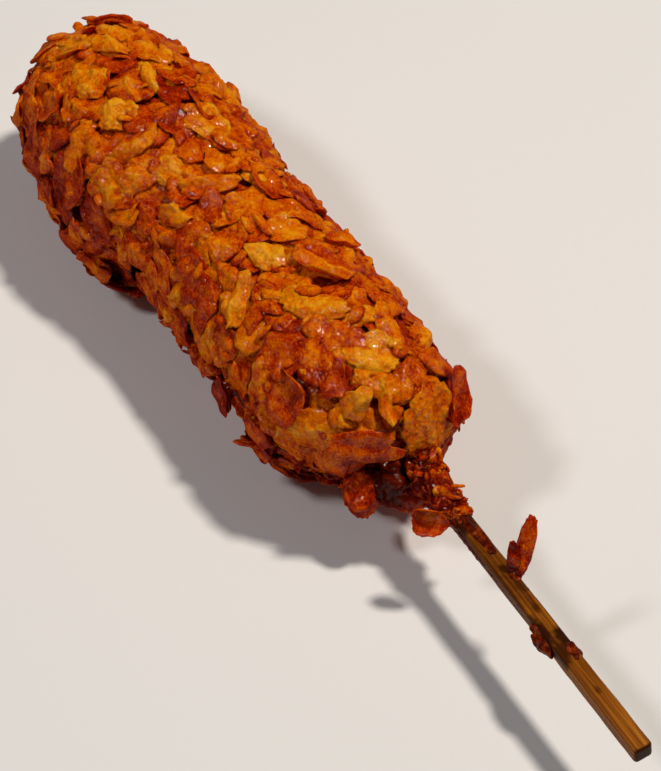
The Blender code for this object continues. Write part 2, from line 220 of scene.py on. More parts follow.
def wood_material():
    """Straight-grained light wood soaked with frying oil: warm ochre on top, pinker where it is bare."""
    material = new_material("stained bare wood")
    tree = material.node_tree
    place = add_node(tree, "ShaderNodeAttribute", attribute_name="grain_place").outputs["Vector"]
    fine = add_node(tree, "ShaderNodeMapping", {"Vector": place, "Scale": (0.035, 1.6, 1.6)})
    grain = add_node(tree, "ShaderNodeTexNoise", {"Vector": fine.outputs["Vector"], "Scale": 1.0, "Detail": 5.0})
    wide = add_node(tree, "ShaderNodeMapping", {"Vector": place, "Scale": (0.02, 0.45, 0.45)})
    bands = add_node(tree, "ShaderNodeTexNoise", {"Vector": wide.outputs["Vector"], "Scale": 1.0, "Detail": 2.0})
    wood = ramp(
        tree,
        grain.outputs["Fac"],
        ((0.30, "#4a2206"), (0.45, "#733c08"), (0.58, "#93560e"), (0.75, "#b4741c")),
    )
    bare = ramp(
        tree,
        grain.outputs["Fac"],
        ((0.30, "#5e310a"), (0.48, "#854a18"), (0.62, "#a0621e"), (0.78, "#ba7e28")),
    )
    split = add_node(tree, "ShaderNodeSeparateXYZ", {"Vector": place})
    past = add_node(
        tree,
        "ShaderNodeMapRange",
        {"Value": split.outputs["X"], "From Min": 68.0, "From Max": 84.0},
    )
    patch = add_node(
        tree,
        "ShaderNodeMapRange",
        {"Value": bands.outputs["Fac"], "From Min": 0.42, "From Max": 0.6},
    )
    share = add_node(
        tree,
        "ShaderNodeMath",
        {0: past.outputs["Result"], 1: patch.outputs["Result"]},
        operation="MULTIPLY",
    )
    base = add_node(
        tree,
        "ShaderNodeMix",
        {"Factor": share.outputs["Value"], "A": wood, "B": bare},
        data_type="RGBA",
    )
    stain = add_node(tree, "ShaderNodeAttribute", attribute_name="stain").outputs["Fac"]
    stained = add_node(
        tree,
        "ShaderNodeMix",
        {"Factor": stain, "A": base.outputs["Result"], "B": colour("#2e0a01")},
        data_type="RGBA",
    )
    bump = add_node(tree, "ShaderNodeBump", {"Height": grain.outputs["Fac"], "Strength": 0.5, "Distance": 0.00015})
    shader = add_node(
        tree,
        "ShaderNodeBsdfPrincipled",
        {
            "Base Color": stained.outputs["Result"],
            "Roughness": 0.5,
            "IOR": 1.4,
            "Specular IOR Level": 0.25,
            "Specular Tint": colour("#ffc080"),
            "Normal": bump.outputs["Normal"],
        },
    )
    add_node(tree, "ShaderNodeOutputMaterial", {"Surface": shader.outputs["BSDF"]})
    return material


finish_piece(make_stick(), "wooden_stick", wood_material(), ["stick"])

# ---- The batter and the flakes sunk in it ---------------------------------------------------
# A thick batter, deep fried with the first layer of cornflakes pressed into it, so that batter,
# flakes and glaze have run together into one crust. It shows as the orange-brown ground between
# the whole flakes, with hollows darkened by painted shade, and as the rough cone that ends on the stick.

BODY_LENGTH = 160.0
WAIST_RADIUS = 22.6
FAR_SWELL = (46.0, 22.0, 4.8)
NEAR_SWELL = (128.0, 22.0, 2.9)
END_ROUNDING = 28.0
END_BLUNTNESS = 2.4
NECK_ROOT_RADIUS = 4.6
NECK_TIP_RADIUS = 2.9
NECK_END = 182.5
NECK_TURNS_TO_STICK = (152.0, 162.0)
PROFILE_STEP = 0.6
BATTER_DEPTH = 1.3
BATTER_STEPS = (120, 180)
NECK_LEAN = 0.6
# Along the body, angle, half length, half angle and depth of the places where the coat is thinner or thicker.
THIN_PLACES = (
    (5.0, -65.0, 6.0, 42.0, -3.4),
    (5.0, 100.0, 6.0, 42.0, -2.2),
    (48.0, -65.0, 17.0, 32.0, 2.6),
    (57.0, 112.0, 6.0, 26.0, -2.6),
    (67.0, 115.0, 6.5, 30.0, 8.5),
    (80.0, 115.0, 14.0, 34.0, 1.2),
    (92.0, -65.0, 6.0, 24.0, -1.5),
    (109.0, 115.0, 6.0, 28.0, 6.5),
    (114.0, -66.0, 9.0, 30.0, 1.8),
    (122.0, 115.0, 5.5, 28.0, 10.0),
    (132.0, 115.0, 4.5, 24.0, -3.4),
    (135.0, -67.0, 11.0, 32.0, 3.8),
    (146.5, 119.0, 12.5, 44.0, 10.5),
    (152.0, -66.0, 6.0, 26.0, -1.5),
)
# The hollow beside the neck, as along the body, angle and distance from the axis of its middle. Its crust is sunk
# deeper, and darkened with painted shade.
HOLLOW = (162.0, 105.0, 8.5)
HOLLOW_RADIUS = 9.0
HOLLOW_DEPTH = 2.5
FUSED_CELL = 0.74
SUNK_FLAKES = 420
FLAKE_THICKNESS = 0.8
# How the painted shade is found: rays round each point, where they start above it, and how far they reach.
LOOKS_ROUND = 6
LOOK_FROM = 0.9
LOOK_DISTANCE = 6.0
RINGS_TO_RIM = 0.65
STIFFNESS = 0.25


def swollen_radius(x):
    radius = WAIST_RADIUS
    for centre, half_length, height in (FAR_SWELL, NEAR_SWELL):
        radius = radius + height * np.exp(-(((x - centre) / half_length) ** 2))
    return radius


def body_radius(x):
    """The mean radius of the coat at x, round ends included."""
    from_end = np.clip(np.minimum(x, BODY_LENGTH - x) / END_ROUNDING, 0.0, 1.0)
    return swollen_radius(x) * (1.0 - (1.0 - from_end) ** END_BLUNTNESS) ** (1.0 / END_BLUNTNESS)


def body_profile():
    """Points (x, radius) of the coat's mean surface, from the free end's pole to the neck's tip."""
    turn = np.linspace(0.0, math.pi / 2, 60)
    far_end = END_ROUNDING * (1.0 - np.cos(turn))
    near_end = BODY_LENGTH - END_ROUNDING * (1.0 - np.sin(turn))
    straight = np.linspace(END_ROUNDING, BODY_LENGTH - END_ROUNDING, 120)[1:-1]
    x = np.concatenate([far_end, straight, near_end])
    body = np.stack([x, body_radius(x)], axis=1)
    body = body[(x < BODY_LENGTH / 2) | (body[:, 1] > NECK_ROOT_RADIUS)]
    neck_x = np.linspace(body[-1, 0], NECK_END, 30)[1:]
    left = (NECK_END - neck_x) / (NECK_END - body[-1, 0])
    neck = NECK_TIP_RADIUS + (NECK_ROOT_RADIUS - NECK_TIP_RADIUS) * left**1.3
    return np.concatenate([body, np.stack([neck_x, neck], axis=1), [[NECK_END, 0.0]]])


PROFILE = body_profile()
PROFILE_ARC = np.concatenate([[0.0], np.cumsum(np.linalg.norm(np.diff(PROFILE, axis=0), axis=1))])


def surface(x, angle):
    """Point, outward normal and the tangents along X and round the body, where the coat is at x."""
    return surface_at(np.interp(x, PROFILE[:, 0], PROFILE_ARC), angle)


def surface_at(arc, angle):
    """The same for a length along the profile, so that the ends can be reached."""
    turn = np.radians(angle)
    nothing = 0.0 * turn
    x = np.interp(arc, PROFILE_ARC, PROFILE[:, 0])
    radius = np.interp(arc, PROFILE_ARC, PROFILE[:, 1]) + nothing
    for place, side, half_length, half_angle, depth in THIN_PLACES:
        across = (angle - side + 180.0) % 360.0 - 180.0
        radius = radius - depth * np.exp(-(((x - place) / half_length) ** 2) - (across / half_angle) ** 2)
    ahead, behind = (
        [np.interp(arc + step, PROFILE_ARC, PROFILE[:, axis]) for axis in (0, 1)] for step in (PROFILE_STEP, -PROFILE_STEP)
    )
    size = np.hypot(ahead[0] - behind[0], ahead[1] - behind[1])
    along_x = ((ahead[0] - behind[0]) / size)[..., None]
    along_r = ((ahead[1] - behind[1]) / size)[..., None]
    outward = np.stack([nothing, -np.sin(turn), np.cos(turn)], axis=-1)
    round_way = np.stack([nothing, -np.cos(turn), -np.sin(turn)], axis=-1)
    share = (x - STICK_TIP_X) / (STICK_BUTT_X - STICK_TIP_X)
    lean = NECK_LEAN * (1.0 - smooth_step(x, 164.0, 176.0))
    shift = STICK_TIP_Y + share * (STICK_BUTT_Y - STICK_TIP_Y) + lean
    shift = shift * smooth_step(x, *NECK_TURNS_TO_STICK)
    centre = np.stack([x + nothing, shift + nothing, AXIS_HEIGHT + nothing], axis=-1)
    x_way = np.array([1.0, 0.0, 0.0])
    point = centre + outward * radius[..., None]
    return point, outward * along_x - x_way * along_r, x_way * along_x + outward * along_r, round_way


def hollow_share(points):
    """How far points are within the hollow beside the neck, which is darkened with painted shade: 1 at its middle and 0
    outside.
    """
    x, angle, distance = HOLLOW
    middle = np.array([x, 0.0, AXIS_HEIGHT]) + distance * np.array(radial(angle))
    return np.exp(-((np.linalg.norm(points - middle, axis=1) / HOLLOW_RADIUS) ** 4))


def height_above_coat(points):
    """How far points are outside the body's mean surface, or inside it where negative."""
    x = points[:, 0]
    full = swollen_radius(x)
    from_end = np.minimum(np.minimum(x, BODY_LENGTH - x) / END_ROUNDING, 1.0)
    radius = np.hypot(points[:, 1], points[:, 2] - AXIS_HEIGHT) / full
    reach = (np.abs(1.0 - from_end) ** END_BLUNTNESS + radius**END_BLUNTNESS) ** (1.0 / END_BLUNTNESS)
    return (reach - 1.0) * full


class Flake:
    """One flake: where it lies, how it is turned and bent, how blistered it is and how toasted."""

    def __init__(self, x, angle, length, width, turn, **looks):
        self.x, self.angle, self.length, self.width, self.turn = x, angle, length, width, turn
        self.lift = 0.3
        self.cup = 0.6
        self.curl = (0.0, 0.0)
        self.ridge = (0.0, 0.0, 0.0)
        self.pitch = 0.0
        self.roll = 0.0
        self.lip = None
        self.toast = 0.5
        self.blisters = 4
        self.ragged = 0.02
        self.thickness = FLAKE_THICKNESS
        self.waves = 0.3
        self.breaks = (0, 0, 1, 2)
        self.bubbly = 0.3
        self.free = None
        self.lobes = 1.0
        vars(self).update(looks)


def bend_lip(along, across, lip):
    """Rolls the part of a flake beyond a line up off the surface, as (along, across, rise)."""
    direction, start, radius, most = lip
    a = math.radians(direction)
    out = along * math.cos(a) + across * math.sin(a)
    side = -along * math.sin(a) + across * math.cos(a)
    past = np.maximum(out - start, 0.0)
    turn = np.minimum(past / radius, math.radians(most))
    rest = past - turn * radius
    new_out = np.minimum(out, start) + radius * np.sin(turn) + rest * np.cos(turn)
    rise = radius * (1.0 - np.cos(turn)) + rest * np.sin(turn)
    return new_out * math.cos(a) - side * math.sin(a), new_out * math.sin(a) + side * math.cos(a), rise


def shape_flake(unit, flake, draw):
    """A flake made from the points of a unit ball: along, across, height, toast with painted shading in it, and rim."""
    share = (np.arccos(np.clip(np.abs(unit[:, 2]), 0.0, 1.0)) / (math.pi / 2)) ** RINGS_TO_RIM
    theta = np.arctan2(unit[:, 1], unit[:, 0])
    outline = (np.abs(np.cos(theta)) ** 2.15 + np.abs(np.sin(theta)) ** 2.15) ** (-1.0 / 2.15)
    for count in (2, 3, 4, 5, 6):
        outline += flake.lobes * draw.uniform(0.02, 0.15) / count**0.6 * np.sin(count * theta + draw.uniform(0.0, 6.28))
    for count in (8, 11, 14, 19, 23):
        outline += draw.uniform(0.3, 1.0) * flake.ragged * np.sin(count * theta + draw.uniform(0.0, 6.28))
    bite = np.cos(theta - draw.uniform(0.0, 6.28))
    outline -= draw.choice((0.0, 0.0, 0.22)) * np.exp((bite - 1.0) * 9.0)
    for _ in range(draw.choice(flake.breaks)):
        facing = np.cos(theta - draw.uniform(0.0, 6.28))
        outline = np.minimum(outline, draw.uniform(0.8, 1.0) / np.maximum(facing, 0.3))
    along = share * np.cos(theta) * flake.length / 2 * outline
    across = share * np.sin(theta) * flake.width / 2 * outline

    relief = np.zeros(len(unit))
    for wavelength, size in ((13.0, 1.2), (8.0, 1.0), (5.0, 0.55), (3.3, 0.28), (2.4, 0.16)):
        a = draw.uniform(0.0, math.pi)
        step = (along * math.cos(a) + across * math.sin(a)) * 2 * math.pi / wavelength
        relief += flake.waves * size * np.sin(step + draw.uniform(0.0, 6.28))
    blister = np.zeros(len(unit))
    for _ in range(flake.blisters):
        reach = math.sqrt(draw.uniform(0.0, 0.8))
        a = draw.uniform(0.0, 2 * math.pi)
        radius = draw.uniform(0.9, 2.0)
        apart = np.hypot(
            along - reach * math.cos(a) * flake.length / 2, across - reach * math.sin(a) * flake.width / 2
        )
        dome = np.clip(1.0 - (apart / radius) ** 2, 0.0, 1.0)
        blister = np.maximum(blister, dome * radius * draw.uniform(0.12, 0.34))
    top = np.where(unit[:, 2] > -1e-6, 1.0, 0.5)
    inner = smooth_step(share, 0.70, 0.92)
    rim = smooth_step(share, 0.86, 0.99) * (0.5 + 0.5 * np.sin(theta + draw.uniform(0.0, 6.28)))
    thick = flake.thickness / 2 * np.sqrt(np.clip(1.0 - share**12, 0.0, 1.0)) * np.sign(unit[:, 2])
    bead = 0.16 * np.exp(-(((share - 0.93) / 0.07) ** 2))
    height = thick * (1.0 - 0.5 * inner) + relief + bead * top + blister * (1.0 - inner) * top

    a = math.radians(flake.curl[0])
    sideways = (along * math.sin(a) - across * math.cos(a)) / (flake.width / 2)
    height = height + flake.curl[1] * sideways**2
    ridge_turn, ridge_place, ridge_height = flake.ridge
    a = math.radians(ridge_turn)
    apart = along * math.sin(a) - across * math.cos(a) - ridge_place + 0.5 * np.sin(along * 0.7)
    ridge = ridge_height * np.exp(-((apart / 0.9) ** 2))
    height = height + ridge
    # Toast here also holds painted light: waves and ridges are painted paler the higher they stand, so their troughs
    # are painted darker, and blisters are paler partly as their own colour and partly as painted highlight.
    toast = 0.17 + 0.62 * flake.toast + 0.14 * blister + 0.14 * relief + 0.2 * ridge + 0.1 * (1.0 - 1.6 * share**2)
    if flake.lip:
        along, across, rise = bend_lip(along, across, flake.lip)
        height = height + rise
        # The rolled-up lip is painted paler as it rises: painted highlight.
        toast = toast + 0.08 * np.minimum(rise, 2.0)
    height = height + (0.8 * flake.cup - 0.45) * share**2.5
    pitch, roll = flake.pitch + draw.uniform(-1.2, 1.2), flake.roll + draw.uniform(-0.9, 0.9)
    height = height + pitch * along / flake.length + roll * across / flake.width
    # Flakes on the side that faces away from the key light, and underneath, are painted darker: painted shade.
    left_side = (flake.angle - 20.0) % 360.0
    toast = toast - 0.16 * float(smooth_step(left_side, 20.0, 90.0) * (1.0 - smooth_step(left_side, 200.0, 300.0)))
    return along, across, height, toast, rim


def lay_flake(flake, along, across, height):
    """Lays a flake on the body, so that it follows the body's roundness, or free of it where it says so."""
    if flake.free:
        middle, lengthwise, facing = flake.free
        lengthwise = lengthwise.normalized()
        widthwise = facing.cross(lengthwise).normalized()
        normal = lengthwise.cross(widthwise)
        return np.array(middle) + np.outer(along, lengthwise) + np.outer(across, widthwise) + np.outer(height, normal)
    a = math.radians(flake.turn)
    point, normal, x_way, round_way = surface(flake.x, flake.angle)
    lengthwise = x_way * math.cos(a) + round_way * math.sin(a)
    widthwise = round_way * math.cos(a) - x_way * math.sin(a)
    roundwards = along * math.sin(a) + across * math.cos(a)
    onwards = along * math.cos(a) - across * math.sin(a)
    radius = max(float(body_radius(min(max(flake.x, 8.0), 152.0))), 15.0)
    end_curve = float(smooth_step(abs(flake.x - BODY_LENGTH / 2), 50.0, 75.0)) / (2 * 26.0)
    droop = roundwards**2 / (2 * radius) + onwards**2 * end_curve
    rise = height + flake.lift - droop * (1.0 - STIFFNESS)
    return point + np.outer(along, lengthwise) + np.outer(across, widthwise) + np.outer(rise, normal)


def look_layers(bm):
    """The layers for how toasted each point is, with the painted shading on flakes, how near a pale rim, and how bubbly
    the surface is.
    """
    layers = bm.verts.layers.float
    return [layers.get(name) or layers.new(name) for name in ("toast", "rim", "bubbly")]


def add_flakes(bm, flakes, seed, steps, rings):
    """Adds flakes to a mesh, each started as a ball of steps by rings, with how toasted each point is and its painted
    shading.
    """
    draw = random.Random(seed)
    ball = bmesh.new()
    bmesh.ops.create_uvsphere(ball, u_segments=steps, v_segments=rings, radius=1.0)
    unit = np.array([vertex.co for vertex in ball.verts])
    one_ball = bpy.data.meshes.new("ball")
    ball.to_mesh(one_ball)
    ball.free()
    first = len(bm.verts)
    for _ in flakes:
        bm.from_mesh(one_ball)
    bpy.data.meshes.remove(one_ball)
    toast_layer, rim_layer, bubbly_layer = look_layers(bm)
    vertices = iter(bm.verts)
    for _ in range(first):
        next(vertices)
    for flake in flakes:
        along, across, height, toast, rim = shape_flake(unit, flake, draw)
        tint = draw.uniform(-0.05, 0.05)
        for point, browned, edge in zip(lay_flake(flake, along, across, height), toast, rim):
            vertex = next(vertices)
            vertex.co = point
            vertex[toast_layer] = float(browned) + tint
            vertex[rim_layer] = float(edge)
            vertex[bubbly_layer] = flake.bubbly


def skin_tree(meshes):
    """One tree of all the meshes' faces, to cast rays on to."""
    corners = []
    faces = []
    for bm in meshes:
        first = len(corners)
        corners.extend(vertex.co for vertex in bm.verts)
        faces.extend([first + vertex.index for vertex in face.verts] for face in bm.faces)
    return BVHTree.FromPolygons(corners, faces)


def note_painted_shade(bm, tree, burnt=1.0):
    """Notes painted shade for each point: more where the crust round it shuts it in, and more in the hollow beside the
    neck as far as burnt says. Also keeps the mesh above the table.
    """
    painted_shade_layer = bm.verts.layers.float.new("painted_shade")
    bm.normal_update()
    points = np.array([vertex.co for vertex in bm.verts])
    outward = points - np.array([0.0, 0.0, AXIS_HEIGHT])
    outward[:, 0] = np.sign(points[:, 0] - BODY_LENGTH / 2) * np.maximum(
        np.abs(points[:, 0] - BODY_LENGTH / 2) - (BODY_LENGTH / 2 - END_ROUNDING), 0.0
    )
    outward /= np.linalg.norm(outward, axis=1)[:, None]
    onwards = np.cross(outward, np.array([0.0, 0.0, 1.0]) + 1e-3)
    onwards /= np.linalg.norm(onwards, axis=1)[:, None]
    sideways = np.cross(outward, onwards)
    shut = np.zeros(len(points))
    starts = points + outward * LOOK_FROM
    for turn in range(LOOKS_ROUND):
        a = 2 * math.pi * turn / LOOKS_ROUND
        rays = outward * 0.62 + (onwards * math.cos(a) + sideways * math.sin(a)) * 0.78
        for index, (start, ray) in enumerate(zip(starts, rays)):
            hit = tree.ray_cast(Vector(start), Vector(ray), LOOK_DISTANCE)
            if hit[0] is not None:
                shut[index] += 1.0 - 0.5 * hit[3] / LOOK_DISTANCE
    painted_shade = np.clip(shut / LOOKS_ROUND * 1.6 - 0.08, 0.0, 0.85)
    # The hollow beside the neck gets painted shade too, weighted by burnt.
    painted_shade = np.maximum(painted_shade, 0.9 * burnt * hollow_share(points))
    for vertex, below in zip(bm.verts, painted_shade):
        vertex.co.z = max(vertex.co.z, 0.2)
        vertex[painted_shade_layer] = float(below)


def flake_material(name, gloss):
    """Cornflake fried in oil under a thin hard sugar glaze: speckled, paler at its thin rim, with small glints, and
    painted shade that turns it dark red where the crust shuts it in.
    """
    material = new_material(name)
    tree = material.node_tree
    place = add_node(tree, "ShaderNodeTexCoord").outputs["Object"]
    toast = add_node(tree, "ShaderNodeAttribute", attribute_name="toast").outputs["Fac"]
    painted_shade = add_node(tree, "ShaderNodeAttribute", attribute_name="painted_shade").outputs["Fac"]
    rim = add_node(tree, "ShaderNodeAttribute", attribute_name="rim").outputs["Fac"]
    bubbly = add_node(tree, "ShaderNodeAttribute", attribute_name="bubbly").outputs["Fac"]
    mottle = add_node(tree, "ShaderNodeTexNoise", {"Vector": place, "Scale": 330.0, "Detail": 4.0, "Roughness": 0.65})
    fine = add_node(tree, "ShaderNodeTexNoise", {"Vector": place, "Scale": 1700.0, "Detail": 3.0, "Roughness": 0.7})
    bubbles = add_node(tree, "ShaderNodeTexVoronoi", {"Vector": place, "Scale": 760.0}, feature="SMOOTH_F1")
    dome = add_node(tree, "ShaderNodeMapRange", {"Value": bubbles.outputs["Distance"], "From Min": 0.1, "From Max": 0.6, "To Min": 1.0, "To Max": 0.0})
    domes = add_node(tree, "ShaderNodeMath", {0: dome.outputs["Result"], 1: bubbly}, operation="MULTIPLY").outputs[0]
    total = toast
    for value, low, high, least, most in (
        (mottle.outputs["Fac"], 0.3, 0.7, -0.22, 0.18),
        (fine.outputs["Fac"], 0.3, 0.7, -0.18, 0.18),
        # Bubble tops are painted paler: partly their own colour and partly painted highlight.
        (domes, 0.0, 1.0, -0.05, 0.16),
        (rim, 0.0, 1.0, 0.0, 0.16),
        (painted_shade, 0.0, 1.0, 0.05, -0.48),
    ):
        part = add_node(
            tree,
            "ShaderNodeMapRange",
            {"Value": value, "From Min": low, "From Max": high, "To Min": least, "To Max": most},
        )
        total = add_node(tree, "ShaderNodeMath", {0: total, 1: part.outputs["Result"]}, operation="ADD").outputs[0]
    base = ramp(
        tree,
        total,
        (
            (0.0, "#560800"),
            (0.2, "#841500"),
            (0.38, "#b03000"),
            (0.56, "#cf5a00"),
            (0.76, "#df7a00"),
            (1.0, "#efa01a"),
        ),
    )
    # Painted shade: the more a point is shut in, the further its colour is mixed towards dark red.
    shaded = add_node(
        tree,
        "ShaderNodeMix",
        {"Factor": add_node(tree, "ShaderNodeMath", {0: painted_shade, 1: 1.3}, operation="POWER").outputs[0], "A": base,
         "B": ramp(tree, painted_shade, ((0.5, "#640c00"), (1.0, "#2c0600")))},
        data_type="RGBA",
    )
    bump = add_node(
        tree,
        "ShaderNodeBump",
        {"Height": domes, "Strength": 0.8, "Distance": 0.0005},
    )
    bump = add_node(
        tree,
        "ShaderNodeBump",
        {"Height": mottle.outputs["Fac"], "Strength": 0.6, "Distance": 0.0008, "Normal": bump.outputs["Normal"]},
    )
    bump = add_node(
        tree,
        "ShaderNodeBump",
        {"Height": fine.outputs["Fac"], "Strength": 0.8, "Distance": 0.0003, "Normal": bump.outputs["Normal"]},
    )
    glaze_bump = add_node(
        tree,
        "ShaderNodeBump",
        {"Height": dome.outputs["Result"], "Strength": 0.6, "Distance": 0.0004},
    )
    glaze_bump = add_node(
        tree,
        "ShaderNodeBump",
        {"Height": mottle.outputs["Fac"], "Strength": 0.4, "Distance": 0.0008, "Normal": glaze_bump.outputs["Normal"]},
    )
    # The glaze is thin and shines where it is looked at straight; it doesn't mirror the table at its edges.
    facing = add_node(tree, "ShaderNodeLayerWeight", {"Blend": 0.5})
    glaze = add_node(
        tree,
        "ShaderNodeMapRange",
        {"Value": facing.outputs["Facing"], "From Min": 0.15, "From Max": 0.55, "To Min": gloss, "To Max": 0.0},
    )
    rough = add_node(
        tree,
        "ShaderNodeMapRange",
        {"Value": mottle.outputs["Fac"], "From Min": 0.3, "From Max": 0.7, "To Min": 0.35, "To Max": 0.55},
    )
    shader = add_node(
        tree,
        "ShaderNodeBsdfPrincipled",
        {
            "Base Color": shaded.outputs["Result"],
            "Roughness": rough.outputs["Result"],
            "IOR": 1.4,
            "Specular IOR Level": 0.02,
            "Specular Tint": colour("#ffa850"),
            "Subsurface Weight": 0.4,
            "Subsurface Radius": (1.0, 0.3, 0.03),
            "Subsurface Scale": 0.0016,
            "Coat Weight": glaze.outputs["Result"],
            "Coat Roughness": 0.07,
            "Coat Normal": glaze_bump.outputs["Normal"],
            "Normal": bump.outputs["Normal"],
        },
    )
    add_node(tree, "ShaderNodeOutputMaterial", {"Surface": shader.outputs["BSDF"]})
    return material


def spread_places(draw, count, spacing, keep_off=(), off_distance=0.0, tries=12000):
    """Places (x, angle) over the body, no two nearer than spacing, and none near the places in keep_off."""
    far = float(np.interp(BODY_LENGTH - 4.0, PROFILE[:, 0], PROFILE_ARC))
    arcs = np.array([draw.uniform(0.0, far) for _ in range(tries)])
    angles = np.array([draw.uniform(-180.0, 180.0) for _ in range(tries)])
    points = surface_at(arcs, angles)[0]
    room = np.full(tries, True)
    for x, angle in keep_off:
        room &= np.linalg.norm(points - surface(x, angle)[0], axis=1) > off_distance
    places = []
    while room.any() and len(places) < count:
        chosen = int(np.argmax(room))
        places.append((float(points[chosen, 0]), float(angles[chosen])))
        room &= np.linalg.norm(points - points[chosen], axis=1) > spacing
    return places


def sunk_flakes():
    draw = random.Random(3)
    flakes = []
    for x, angle in spread_places(draw, SUNK_FLAKES, 7.0, [HOLLOW[:2]], HOLLOW_RADIUS):
        length = draw.uniform(10.0, 15.0)
        flakes.append(
            Flake(
                x,
                angle,
                length,
                length * draw.uniform(0.65, 0.95),
                draw.uniform(0.0, 360.0),
                lift=draw.uniform(-1.8, -0.4),
                cup=draw.uniform(-0.4, 1.0),
                curl=(draw.uniform(0.0, 180.0), draw.uniform(-0.5, 1.0)),
                ridge=(draw.uniform(0.0, 180.0), draw.uniform(-2.0, 2.0), draw.choice((0.0, 0.5, 0.9))),
                pitch=draw.uniform(-2.6, 2.6),
                roll=draw.uniform(-1.8, 1.8),
                toast=draw.uniform(0.25, 0.7),
                blisters=draw.randint(0, 8),
                bubbly=draw.uniform(0.0, 1.0),
                thickness=1.3,
            )
        )
    return flakes


SMOOTH = {"blisters": 1, "waves": 0.3, "ragged": 0.012, "bubbly": 0.2}
BLISTERED = {"blisters": 14, "waves": 0.34, "ragged": 0.03, "bubbly": 1.0}
BLOCKY = {"blisters": 9, "waves": 0.14, "ragged": 0.02, "bubbly": 0.8, "thickness": 4.6, "breaks": (0,), "lobes": 0.3}
RIDGED = {"blisters": 5, "waves": 0.42, "ragged": 0.02, "bubbly": 0.6, "ridge": (10.0, 0.8, 0.7)}

# A thick flake that stands beside the neck, as its middle, the way its length runs and the way it faces.
BLOCK = (
    Vector((158.2, 0.0, AXIS_HEIGHT)) + radial(111.0) * 12.6,
    Vector((-0.64, 0.4, 0.66)),
    Vector((0.5, -0.55, 0.7)),
)
